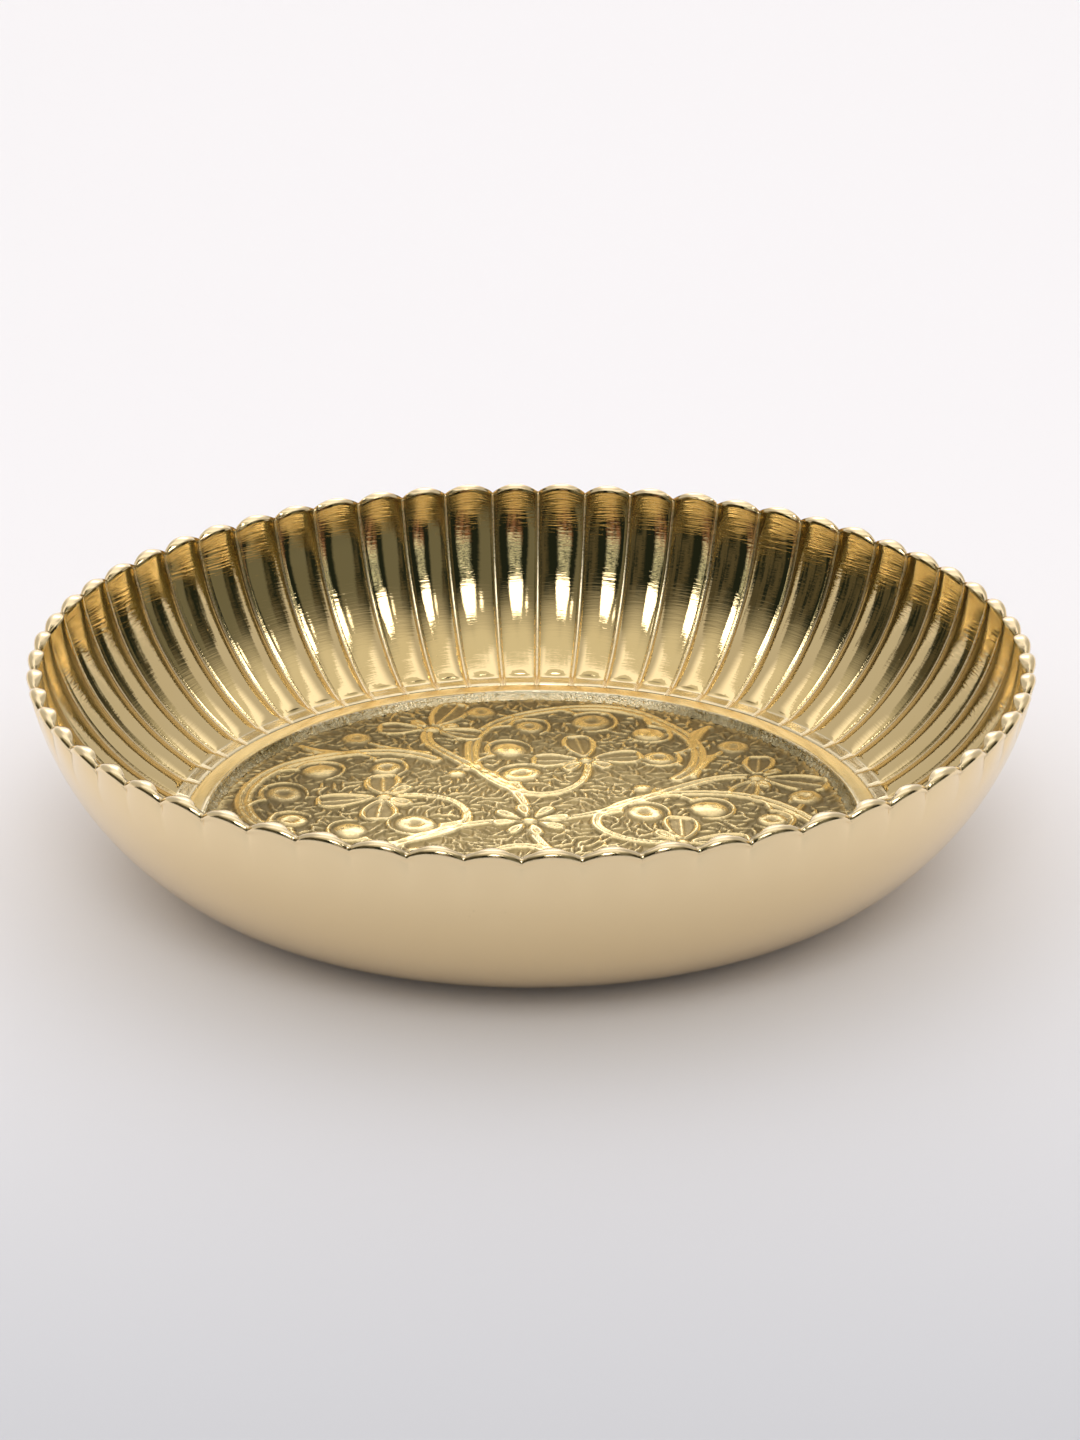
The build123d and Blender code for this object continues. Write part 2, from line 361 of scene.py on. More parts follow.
# ------------------------------------------------------------------ lobed bowl
# share of the pitch that a groove takes on each side: at the rim, just below it, and at the lobes' feet
RIM_GROOVE, WALL_GROOVE, FOOT_GROOVE = 0.10, 0.080, 0.068
NOTCH_START = 33.0  # the scallops run out on the outside at this height
WALL_MARK = 101.5  # v where the inside wall's arc is level


class Bowl:
    """Rows of points from the underside, over the rim and down the inside to the pocket in the floor."""

    def __init__(self):
        self.grooves = FIRST_GROOVE + PITCH * np.arange(LOBES) + rng.normal(0, 0.0022, LOBES)
        self.width = np.roll(self.grooves, -1) - self.grooves
        self.width[-1] += 2 * pi
        across, _ = self.fractions(RIM_GROOVE)
        self.lobe = np.repeat(np.arange(LOBES), len(across) // LOBES)
        # small differences from lobe to lobe, as hand finishing leaves them
        self.gain = rng.normal(1, 0.08, LOBES)[self.lobe]
        self.skew = rng.normal(0, 0.10, LOBES)[self.lobe]
        notch_gain = rng.normal(1, 0.10, LOBES)
        self.notch_gain = np.where(across < 0.5, notch_gain[self.lobe], notch_gain[(self.lobe + 1) % LOBES])
        self.foot_shift = rng.normal(0, 0.13, LOBES)[self.lobe]
        self.crown_shift = rng.normal(0, 0.10, LOBES)[self.lobe]
        self.points, self.u, self.v = [], [], []

    def fractions(self, g):
        """Place across the lobe, 0 to 1, and distance from the nearer groove, at every column."""
        left = np.array([0, 0.5 * g, 0.9 * g, 1.12 * g])
        inner = 1.25 * g + (1 - 2.5 * g) * np.linspace(0, 1, 10)[1:-1]
        t = np.tile(np.concatenate([left, inner, 1 - left[:0:-1]]), LOBES)
        return t, np.minimum(t, 1 - t)

    def row(self, r, z, g, mark):
        t, _ = self.fractions(g)
        angle = self.grooves[self.lobe] + t * self.width[self.lobe]
        r = np.broadcast_to(r, angle.shape)
        z = np.broadcast_to(z, angle.shape)
        self.points.append(np.stack([r * np.sin(angle), r * np.cos(angle), z], -1))
        self.u.append(self.lobe + t)
        self.v.append(np.full_like(t, mark))

    def notch(self, g):
        """1 at a notch between two beads, 0 on a bead's crown."""
        return (1 - 2 * self.fractions(g)[1]) ** 2.1 * self.notch_gain

    def profile(self, g, crest, depth):
        """Height over the wall's arc: a round back between two V-grooves."""
        t, d = self.fractions(g)
        s = np.clip((d - g) / (0.5 - g), 0, 1)
        back = crest * self.gain * (1 - (1 - s) ** 2.1) * (1 + self.skew * (t - 0.5) * 2)
        vee = -depth * (1 - np.clip(d / g, 0, 1)) ** 0.9
        return np.where(d < g, vee, back)

    def flank_r(self, z):
        return np.interp(z, self.flank[:, 1], self.flank[:, 0])

    def outside(self):
        """Underside and outer wall; the mark v runs from 0 in the middle to 91 below the rim."""
        g = RIM_GROOVE
        for r, z, mark in (
            (0.6, HOLLOW_DEPTH, 0), (30, HOLLOW_DEPTH, 20), (HOLLOW_R - 0.4, HOLLOW_DEPTH, 40),
            (HOLLOW_R, HOLLOW_DEPTH - 0.05, 41), (HOLLOW_R + 0.8, 0.05, 42), (HOLLOW_R + 1.1, 0, 43),
            (BASE_R - 0.3, 0, 46),
        ):
            self.row(r, z, g, mark)
        sole, heading = tangent_arc((BASE_R, 0), (1, 0), SOLE_END, 5)
        bilge, heading = tangent_arc(sole[-1], heading, BILGE_END, 7)
        self.flank, _ = tangent_arc(bilge[-1], heading, (RIM_R, RIM_Z), 21)
        for r, z in np.concatenate([sole, bilge[1:], self.flank[1:]]):
            if z < NOTCH_START:
                self.row(r, z, g, 50 + z)
        for z in (33.5, 35.5, 37.3, 38.6, 39.6, 40.4, 41.0):
            fade = np.exp(-(RIM_Z - 1.2 - z) / 3.4)
            height = z - self.notch(g) * NOTCH_OUT * smooth_step((z - NOTCH_START) / 8.0)
            self.row(self.flank_r(height) - NOTCH_SIDE * self.notch(g) * fade, height, g, 50 + z)

    def rim(self):
        """Domed beads, rounded wide outside and crisp at the inner edge; v runs from 96.4 to 99."""
        g = RIM_GROOVE
        ground_r = ARC_X + sqrt(GROUND_R**2 - (ARC_Z - RIM_Z) ** 2)
        outer_r = self.flank_r(RIM_Z - 0.6) - NOTCH_SIDE * self.notch(g)
        inner_r = ground_r - self.profile(g, CREST + TOP_SWELL, 0.4)
        outer_z = RIM_Z - 0.06 - NOTCH_OUT * self.notch(g) + self.crown_shift * 0.5
        inner_z = RIM_Z - 0.42 - NOTCH_IN * self.notch(g) + self.crown_shift * 0.5
        shoulder = ((0.0, 1.05, 96.4), (0.08, 0.70, 96.8), (0.28, 0.38, 97.2), (0.62, 0.14, 97.6))
        for inward, down, mark in shoulder:
            self.row(outer_r - inward, outer_z - down, g, mark)
        for q in (0.05, 0.30, 0.55, 0.80):
            r = (outer_r - 1.1) * (1 - q) + (inner_r + 0.25) * q
            self.row(r, outer_z * (1 - q**1.6) + (inner_z + 0.14) * q**1.6, g, 97.7 + q)
        self.row(inner_r + 0.20, inner_z + 0.07, g, 98.8)
        self.row(inner_r + 0.05, inner_z - 0.02, g, 99.0)

    def inside(self):
        """Lobed wall, by angle a below level on its arc; v grows by the millimetres along the arc."""
        foot = 90 - np.degrees(np.arcsin((LOBE_END - ARC_X) / (GROUND_R - CREST)))
        for a in np.concatenate([[5.3, 6.2], np.linspace(8, foot - 3, 30), [foot - 1.5]]):
            down = (a - 5) / (foot - 5)
            g = WALL_GROOVE + (FOOT_GROOVE - WALL_GROOVE) * down
            crest = CREST - 0.05 * down + TOP_SWELL * (1 - smooth_step((a - 5) / 16))
            crest *= 1 - 0.28 * smooth_step((a - foot + 7) / 7)
            depth = GROOVE_DEPTH - 0.10 * down
            wave = 0.012 * np.sin(a * 0.9 + self.gain * 40) + 0.010 * np.sin(a * 0.37 + self.skew * 60)
            h = self.profile(g, crest, depth) + wave
            r = ARC_X + (GROUND_R - h) * cos(radians(a))
            z = ARC_Z - (GROUND_R - h) * sin(radians(a))
            z = z - (0.30 + NOTCH_IN * self.notch(g)) * smooth_step((z - 35.0) / 7.3)
            self.row(r, z, g, WALL_MARK + GROUND_R * radians(a))

    def foot(self):
        """Step at the lobes' feet, then the plain band down to the ring, crossed by the groove ends."""
        g = FOOT_GROOVE
        h = self.profile(g, 0.54, 0.32)
        end_r = LOBE_END + self.foot_shift
        base_z = RING_TOP + BAND_RISE * (end_r - RING_OUT) / (BAND_END - RING_OUT)
        on_lobe = np.clip(h, 0, None)
        in_groove = np.clip(h, None, 0)
        self.row(end_r + 0.12 - 0.10 * on_lobe, base_z + 0.06 + 1.02 * on_lobe + in_groove, g, 149.0)
        self.row(end_r - 0.02, base_z + 0.02 + 0.90 * on_lobe + in_groove, g, 149.2)
        self.row(end_r - 0.42, base_z - 0.09 + 0.03 * on_lobe + in_groove, g, 150.0)
        for q in (0.12, 0.4, 0.7, 0.93):
            narrow = g * (1 - 0.85 * q)
            h = self.profile(narrow, 0.0, 0.20 * (1 - 0.9 * q))
            r = (end_r - 0.42) * (1 - q) + (RING_OUT + 0.05) * q
            z = RING_TOP + BAND_RISE * (r - RING_OUT) / (BAND_END - RING_OUT)
            self.row(r, z + h, narrow, 150.2 + 2 * q)

    def pocket(self):
        """Stepped pocket that the ring and the disc lie in."""
        for r, z, g, mark in (
            (RING_OUT + 0.03, RING_TOP - 0.06, 0.02, 153), (RING_OUT + 0.02, RING_BOTTOM, 0.02, 154),
            (DISC_R + 0.02, RING_BOTTOM, 0.05, 158), (DISC_R + 0.02, POCKET, 0.05, 159),
            (0.6, POCKET, 0.05, 220),
        ):
            self.row(r, z, g, mark)

    def mesh(self):
        for stretch in (self.outside, self.rim, self.inside, self.foot, self.pocket):
            stretch()
        uv = (np.array(self.u), np.array(self.v))
        return grid_mesh("lobed_bowl_mesh", np.array(self.points), uv=uv, cap=True)


bowl = add_piece("bowl", Bowl().mesh(), polished_brass(), "lobed_bowl")


# ------------------------------------------------------------------ turned ring
def ring_points():
    columns = 24 * LOBES
    angle = 2 * pi * np.arange(columns) / columns
    wobble = 0.10 * np.sin(3 * angle + 1.0) + 0.07 * np.sin(7 * angle) + 0.05 * np.sin(17 * angle + 2)
    # radius, height and share of the wobble: up the cast lip, over the top and down the turned side
    lip = [
        (-1.80, 0, 1), (-1.70, 0.05, 1), (-1.25, 0.16, 1), (-0.80, 0.38, 1), (-0.42, 0.70, 1),
        (-0.15, 1.05, 1),
    ]
    shoulder = [(RING_IN, -0.22, 1), (RING_IN + 0.10, -0.07, 1), (RING_IN + 0.28, 0, 0.8)]
    flat = [(RING_IN + 1.1, 0.01, 0), (RING_OUT - 1.4, 0.01, 0)]
    side = [(RING_OUT - 0.30, 0, 0), (RING_OUT - 0.12, -0.04, 0), (RING_OUT - 0.05, -0.14, 0)]
    outline = [(RING_IN + r, RING_BOTTOM + z, loose) for r, z, loose in lip]
    outline += [(r, RING_TOP + z, loose) for r, z, loose in shoulder + flat + side]
    outline += [(RING_OUT - 0.05, RING_BOTTOM, 0), outline[0]]
    rows = []
    for i, (r, z, loose) in enumerate(outline):
        radius = r + loose * wobble
        x, y = radius * np.sin(angle), radius * np.cos(angle)
        skin = np.zeros(columns)
        if 1 <= i <= len(lip):
            skin = 0.15 * uneven(x + 3 * i, y, 3.2, 15) + 0.10 * uneven(x, y + 3 * i, 7.0, 16)
            skin = np.maximum(skin, RING_BOTTOM - z + 0.01)
        rows.append(np.stack([x, y, z + skin], -1))
    return np.array(rows)


ring = add_piece("ring", grid_mesh("floor_ring_mesh", ring_points()), turned_brass(), "floor_ring")


# ------------------------------------------------------------------ embossed disc
def turned(points, angle):
    """Points turned about the disc's centre; this section's angles are in degrees."""
    c, s = cos(radians(angle)), sin(radians(angle))
    return np.asarray(points, float) @ np.array([[c, s], [-s, c]])


def unit(angle):
    """Unit vector that points along an angle."""
    return np.array([cos(radians(angle)), sin(radians(angle))])


def left_of(direction):
    return np.array([-direction[1], direction[0]])


def arc(centre, radii, angles, count):
    """Points of an arc whose radius may change on the way."""
    t = np.linspace(0, 1, count)
    a = np.radians(angles[0] + (angles[1] - angles[0]) * t)
    r = radii[0] + (radii[1] - radii[0]) * t
    return np.stack([centre[0] + r * np.cos(a), centre[1] + r * np.sin(a)], -1)


def bezier(*controls, count):
    """Points of the Bezier curve with these controls."""
    p = [np.asarray(q, float) for q in controls]
    t = np.linspace(0, 1, count)[:, None]
    while len(p) > 1:
        p = [a * (1 - t) + b * t for a, b in zip(p[:-1], p[1:])]
    return p[0]


MOTIF_REACH = 2.5  # a motif's surroundings are measured out to here, mm
FAR_OFF = 9.0


class Relief:
    """Height of the chased pattern, 0 on the ground and 1 on the highest backs, at scattered points."""

    def __init__(self, x, y):
        self.x, self.y = x, y
        self.h = np.zeros_like(x)
        self.gap = np.full_like(x, FAR_OFF)  # distance to the nearest motif

    def near(self, points, reach):
        """Indices of the samples in the box round these points, widened by reach."""
        lo, hi = np.min(points, 0) - reach, np.max(points, 0) + reach
        inside = (self.x > lo[0]) & (self.x < hi[0]) & (self.y > lo[1]) & (self.y < hi[1])
        return np.flatnonzero(inside)

    def stroke(self, points, widths, height=1.0, groove=0.0):
        """Round-backed bar along points; groove cuts a fine line down its back."""
        p = np.asarray(points, float)
        half = np.interp(np.linspace(0, 1, len(p)), np.linspace(0, 1, len(widths)), widths) / 2
        k = self.near(p, half.max() + MOTIF_REACH)
        if not len(k):
            return
        x, y = self.x[k], self.y[k]
        ratio, gap = np.full(len(k), 1e9), np.full(len(k), 1e9)
        for a, b, wa, wb in zip(p[:-1], p[1:], half[:-1], half[1:]):
            d = b - a
            t = np.clip(((x - a[0]) * d[0] + (y - a[1]) * d[1]) / max(d @ d, 1e-9), 0, 1)
            far = np.hypot(x - a[0] - t * d[0], y - a[1] - t * d[1])
            wide = wa + t * (wb - wa)
            ratio = np.minimum(ratio, far / np.maximum(wide, 1e-6))
            gap = np.minimum(gap, far - wide)
        back = np.clip(1 - ratio**2, 0, 1) ** 0.40 - groove * np.exp(-((ratio / 0.20) ** 2))
        self.h[k] = np.maximum(self.h[k], height * back)
        self.gap[k] = np.minimum(self.gap[k], gap)

    def bud(self, centre, radius, height=1.0, dimple=0.0):
        k = self.near([centre], radius + MOTIF_REACH)
        far = np.hypot(self.x[k] - centre[0], self.y[k] - centre[1])
        dome = np.clip(1 - (far / radius) ** 2, 0, 1) ** 0.48
        dome = dome - dimple * np.exp(-((far / (0.38 * radius)) ** 2))
        self.h[k] = np.where(far < radius, height * dome, self.h[k])
        self.gap[k] = np.minimum(self.gap[k], far - radius)

    def petal(self, base, direction, length, width, height=1.0, rim=1.5):
        """Drop-shaped petal with a raised outline round a hollow, and a fine rib in it."""
        c, s = unit(direction)
        k = self.near([base, (base[0] + length * c, base[1] + length * s)], width / 2 + MOTIF_REACH)
        dx, dy = self.x[k] - base[0], self.y[k] - base[1]
        along = (dx * c + dy * s) / length
        side = np.abs(dy * c - dx * s)
        t = np.clip(along, 0, 1)
        depth = width / 2 * 1.72 * t**0.85 * (1 - t) ** 0.42 - side
        outside = np.where(along < 0, -along, along - 1) * length
        depth = np.where((along < 0) | (along > 1), -np.hypot(side, outside), depth)
        depth = np.minimum(depth, (1 - along) * length)
        outline = np.sqrt(np.clip(1 - ((depth - rim / 2) / (rim / 2)) ** 2, 0, 1))
        hollow = np.where(depth > 0.75 * rim, 0.30 + 0.40 * np.exp(-((side / 0.40) ** 2)), 0)
        self.h[k] = np.where(depth > 0, height * np.maximum(outline, hollow), self.h[k])
        self.gap[k] = np.minimum(self.gap[k], -depth)

    def flower(self, centre, turn, petals, eye):
        for direction, length, width in petals:
            base = turned([centre + 0.9 * unit(direction)], turn)[0]
            self.petal(base, direction + turn, length, width)
        self.bud(turned([centre], turn)[0], eye)


# the quarter that is repeated, in mm from the disc's centre
SCROLL = np.array([10.5, 35.0])
FLOWER, SPRAY = np.array([11.2, 30.0]), np.array([47.0, 21.0])
# each petal's direction in degrees, length and width
FLOWER_PETALS = ((97, 13, 10), (176, 11.5, 10.4), (8, 11, 10.2), (228, 6.5, 5), (318, 6.5, 5))
SPRAY_PETALS = ((86, 11, 9.6), (-112, 10.5, 9.6), (-20, 15, 11), (38, 5.5, 3.8), (-65, 5.2, 3.6))
LOOSE_BUDS = ((42.8, 37.6), (57.2, 10.6))
PATTERN_R = 62.0
FILL_PITCH, FILL_ROWS = 2.05, 36
EDGE_STROKES = 134
GRID_STEP = 0.378


def scroll(f, turn):
    """One quarter of the pattern: a stem, a vine curled round a flower, and what grows off it."""
    def at(points):
        return turned(points, turn)

    # buds on curled stalks, inside the coil
    for i in range(6):
        angle = -14 + 47 * i
        spot = SCROLL + (17.3 if i % 2 else 16.0) * unit(angle)
        size = 3.6 + 0.35 * (i % 3)
        f.bud(at([spot])[0], size, 1.0, 0.0 if i in (1, 4) else 0.60)
        curl = arc(spot, (size + 0.75, size + 0.95), (angle + 50, angle - 190), 26)
        root = SCROLL + 23.4 * unit(angle + 20)
        lead = bezier(root, (root + curl[0]) / 2 + 0.12 * (spot - SCROLL)[::-1] * (1, -1), curl[0], count=8)
        f.stroke(at(np.vstack([lead[:-1], curl])), (1.5, 1.35, 0.7), 0.92)
    # the coil and the stem that it grows from
    ring = arc(SCROLL, (24.4, 23.6), (-36, 215), 70)
    onward = ring[-1] + 9 * (ring[-1] - ring[-2])
    coil = bezier(ring[-1], onward, (4, 10.5), (12.5, 14.5), (11.6, 27), count=26)
    f.stroke(at(np.vstack([ring, coil[1:]])), (4.2, 4.1, 3.4, 2.2), 1.0, 0.50)
    f.stroke(at(bezier((5, 0), (18, 2), (30, 12), (33, 24), (45, 22), count=30)), (2.4, 4.0, 2.8), 1.0, 0.50)
    f.stroke(at(arc(SCROLL, (21.2, 20.8), (70, 200), 50)), (0.3, 0.9, 0.3), 0.55)
    # small leaves along both sides of the coil
    for i in range(15):
        away = unit(-20 + 15.5 * i)
        along = left_of(away)
        for reach, lean in ((26.8, 1.0), (21.2, -0.8)):
            spot = SCROLL + reach * away
            f.stroke(at([spot, spot + 1.1 * along + 1.3 * lean * away]), (1.7, 0.5), 0.74)
    # flowers
    f.flower(FLOWER, turn, FLOWER_PETALS, 1.8)
    f.flower(SPRAY, turn, SPRAY_PETALS, 2.0)
    # loose buds, a leaf and a tendril outside the coil
    f.stroke(at(bezier((33.5, 22), (35.5, 31), (40.5, 35.5), count=14)), (1.9, 1.5), 0.92)
    f.stroke(at(bezier((52, -4), (54, 3), (56.5, 7.5), count=14)), (1.2, 1.6), 0.85)
    for spot in LOOSE_BUDS:
        f.bud(at([spot])[0], 3.7, 1.0, 0.45)
    f.stroke(at(bezier((34.3, 37), (34, 44), (38.8, 49), count=14)), (1.2, 4.2, 1.8), 0.9)
    f.stroke(at(bezier((21.5, 7), (27.5, 11), (26.8, 18.2), (23.0, 18), count=16)), (1.4, 0.9), 0.85)
    f.bud(at([(23.6, 15.6)])[0], 2.3, 0.88)


def pattern(x, y):
    """Four scrolls round a rosette."""
    f = Relief(x, y)
    for quarter in range(4):
        scroll(f, 90 * quarter)
    for i in range(8):
        direction = 45 * i + 10
        f.petal(1.6 * unit(direction), direction, 6.6, 4.2)
    f.bud((0, 0), 2.0)
    return f


def fill_ground(f, dice):
    """Short leaf strokes wherever the motifs leave room, each pointing away from the nearest one."""
    step = 0.5
    count = int(2 * DISC_R / step) + 1
    gx, gy = np.meshgrid(np.arange(count) * step - DISC_R, np.arange(count) * step - DISC_R)
    clear = pattern(gx.ravel(), gy.ravel()).gap.reshape(count, count)
    slope_y, slope_x = np.gradient(clear, step)
    for j in range(-FILL_ROWS, FILL_ROWS + 1):
        for i in range(-FILL_ROWS, FILL_ROWS + 1):
            spot = FILL_PITCH * np.array([i + 0.5 * (j % 2), 0.88 * j]) + dice.uniform(-0.4, 0.4, 2)
            lean, side = dice.uniform(-0.35, 0.35), dice.choice([-0.35, 0.5])
            if hypot(*spot) > PATTERN_R:
                continue
            row, col = ((spot[::-1] + DISC_R) / step).round().astype(int)
            room = clear[row, col]
            if room < 0.60:
                continue
            angle = atan2(slope_y[row, col], slope_x[row, col]) + lean + side
            d = np.array([cos(angle), sin(angle)]) * min(1.6, 0.5 + 0.62 * room)
            bend = 0.35 * left_of(d)
            f.stroke(bezier(spot - d, spot + bend, spot + d, count=5), (0.5, 1.15, 0.4), 0.66)


def notch_edge(f, dice):
    """Row of slanting strokes round the disc's edge."""
    for i in range(EDGE_STROKES):
        a = 2 * pi * i / EDGE_STROKES + dice.uniform(-0.01, 0.01)
        out = np.array([cos(a), sin(a)])
        across = left_of(out)
        f.stroke([out * 62.4 - across * 0.6, out * 63.5, out * 64.5 + across * 0.8], (1.5, 1.0, 0.3), 0.55)


def relief_height(x, y):
    """Chased pattern with its filling; x and y in mm, bent a little as handwork is."""
    x, y = (
        x + 0.55 * np.sin(y / 7.3 + 0.4) + 0.35 * np.sin(x / 5.1 + y / 9.7 + 2.0),
        y + 0.55 * np.sin(x / 6.7 + 1.9) + 0.35 * np.sin(y / 4.7 - x / 8.9 + 0.7),
    )
    f = pattern(x, y)
    dice = np.random.default_rng(7)
    fill_ground(f, dice)
    notch_edge(f, dice)
    return f.h


def disc_mesh():
    """Fine square grid cut to a circle, raised by the pattern, with a side wall and a flat back."""
    step = GRID_STEP
    half = int(DISC_R / step) + 2
    i, j = np.meshgrid(np.arange(-half, half + 1), np.arange(-half, half + 1))
    x, y = i * step, j * step
    radius = np.hypot(x, y)
    edge = DISC_R - 0.12
    cell = np.maximum.reduce([radius[:-1, :-1], radius[1:, :-1], radius[1:, 1:], radius[:-1, 1:]]) < edge
    number = np.arange(x.size).reshape(x.shape)
    quads = np.stack([number[:-1, :-1], number[:-1, 1:], number[1:, 1:], number[1:, :-1]], -1)[cell]
    used = np.unique(quads)
    lookup = np.full(x.size, -1)
    lookup[used] = np.arange(len(used))
    quads = lookup[quads]
    x, y = x.ravel()[used], y.ravel()[used]
    edges = np.concatenate([quads[:, [0, 1]], quads[:, [1, 2]], quads[:, [2, 3]], quads[:, [3, 0]]])
    lone = {tuple(e) for e in edges.tolist()}
    border = {a: b for a, b in lone if (b, a) not in lone}
    loop = [next(iter(border))]
    while border[loop[-1]] != loop[0]:
        loop.append(border[loop[-1]])
    c, s = cos(VIEW_TURN), sin(VIEW_TURN)
    h = relief_height(x * c - y * s, x * s + y * c)
    radius = np.hypot(x, y)
    fade = 1 - smooth_step((radius - 64.2) / 1.6)
    z = RING_BOTTOM + RELIEF * np.clip(h, 0, 1) * fade
    z += (0.045 * uneven(x, y, 2.6, 3) + 0.03 * uneven(x, y, 5.5, 4)) * (1 - 0.6 * h) * fade
    margin = smooth_step((radius - 62.6) / 2.0) * (1 - smooth_step((radius - 66.0) / 0.5))
    z += margin * (0.20 * uneven(x, y, 3.0, 5) + 0.10 * uneven(x, y, 6.5, 6))
    z = np.where(radius > RING_IN, RING_BOTTOM - 0.01, z)
    ring = np.array(loop)
    scale = edge / np.hypot(x[ring], y[ring])
    x[ring], y[ring] = x[ring] * scale, y[ring] * scale
    top = np.stack([x, y, z], -1)
    wall = np.stack([x[ring], y[ring], np.full(len(ring), DISC_BOTTOM)], -1)
    verts = np.concatenate([top, wall])
    below = len(top) + np.arange(len(ring))
    skirt = np.stack([ring, below, np.roll(below, -1), np.roll(ring, -1)], -1)
    faces = quads.tolist() + skirt.tolist() + [below[::-1].tolist()]
    mesh = bpy.data.meshes.new("floor_medallion_mesh")
    mesh.from_pydata((verts * MM).tolist(), [], faces)
    mesh.validate()
    return mesh


medallion = add_piece("medallion", disc_mesh(), embossed_brass(), "floor_medallion")


# ------------------------------------------------------------------ solder film
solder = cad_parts["solder_bed"]
solder.data.materials.clear()
solder.data.materials.append(solder_metal())


# ------------------------------------------------------------------ floor
def pale_paper():
    m = Nodes("pale_paper")
    obj = (m.coords, "Object")
    _, y, _ = m.split(obj)
    cloud = m.noise(obj, 1.5, 2.0)
    sheet = m.mix(cloud, (0.86, 0.84, 0.845, 1), (0.88, 0.86, 0.865, 1))
    # the light falls off in front of the tray, and comes back slowly further out
    dim = m.product(m.ramp(y, 0.10, -0.38), m.ramp(y, -2.2, -0.45))
    m.feed(m.bsdf, "Base Color", m.mix(dim, sheet, (0.49, 0.50, 0.525, 1)))
    m.bsdf.inputs["Roughness"].default_value = 0.6
    m.bsdf.inputs["Specular IOR Level"].default_value = 0.1
    return m.material


FLOOR_HALF = 12.0  # metres
FLOOR_GAP = 0.0002  # keeps the floor clear of the resting face
floor_mesh = bpy.data.meshes.new("floor_mesh")
corners = [(sx * FLOOR_HALF, sy * FLOOR_HALF, 0) for sx, sy in ((-1, -1), (1, -1), (1, 1), (-1, 1))]
floor_mesh.from_pydata(corners, [], [(0, 1, 2, 3)])
floor_mesh.materials.append(pale_paper())
floor = bpy.data.objects.new("floor", floor_mesh)
bpy.context.scene.collection.objects.link(floor)
floor.location.z = low[2] - FLOOR_GAP


# ------------------------------------------------------------------ studio round the tray
class Sky:
    """World made of smooth patches of direction: azimuth from -Y towards +X, and elevation, in degrees."""

    def __init__(self):
        world = bpy.data.worlds.new("studio")
        bpy.context.scene.world = world
        world.use_nodes = True
        self.nt = world.node_tree
        self.nt.nodes.clear()
        coords = self.nt.nodes.new("ShaderNodeTexCoord")
        split = self.nt.nodes.new("ShaderNodeSeparateXYZ")
        self.nt.links.new(coords.outputs["Generated"], split.inputs[0])
        x, y, z = split.outputs
        self.vector = coords.outputs["Generated"]
        self.elevation = self.product(self.math("ARCSINE", z), 180 / pi)
        turn = self.math("ARCTAN2", x, self.product(y, -1.0))
        self.azimuth = self.total(self.product(turn, 180 / pi), degrees(VIEW_TURN))
        self.away = self.math("ABSOLUTE", self.azimuth)

    def socket(self, node, index, value):
        if isinstance(value, bpy.types.NodeSocket):
            self.nt.links.new(value, node.inputs[index])
        else:
            node.inputs[index].default_value = value

    def math(self, operation, a, b=0.0):
        node = self.nt.nodes.new("ShaderNodeMath")
        node.operation = operation
        self.socket(node, 0, a)
        self.socket(node, 1, b)
        return node.outputs[0]

    def product(self, a, b):
        return self.math("MULTIPLY", a, b)

    def total(self, a, b):
        return self.math("ADD", a, b)

    def edge(self, value, low, high):
        node = self.nt.nodes.new("ShaderNodeMapRange")
        node.interpolation_type = "SMOOTHSTEP"
        self.socket(node, 0, value)
        node.inputs[1].default_value = low
        node.inputs[2].default_value = high
        return node.outputs[0]

    def band(self, value, low, high, soft):
        up = self.edge(value, low - soft, low + soft)
        down = self.edge(value, high + soft, high - soft)
        return self.product(up, down)

    def patch(self, azimuths, elevations, soft):
        across = self.band(self.azimuth, *azimuths, soft)
        return self.product(across, self.band(self.elevation, *elevations, soft))

    def noise(self, scale, stretch=(1, 1, 1)):
        mapping = self.nt.nodes.new("ShaderNodeMapping")
        self.nt.links.new(self.vector, mapping.inputs["Vector"])
        mapping.inputs["Scale"].default_value = stretch
        node = self.nt.nodes.new("ShaderNodeTexNoise")
        self.nt.links.new(mapping.outputs[0], node.inputs["Vector"])
        node.inputs["Scale"].default_value = scale
        return node.outputs["Fac"]

    def mix(self, factor, a, b):
        node = self.nt.nodes.new("ShaderNodeMix")
        node.data_type = "RGBA"
        self.socket(node, 0, factor)
        self.socket(node, 6, a)
        self.socket(node, 7, b)
        return node.outputs[2]


PAPER = (0.93, 0.90, 0.91, 1)
PLAIN = (0.87, 0.84, 0.845, 1)
GLOOM = (0.014, 0.019, 0.014, 1)


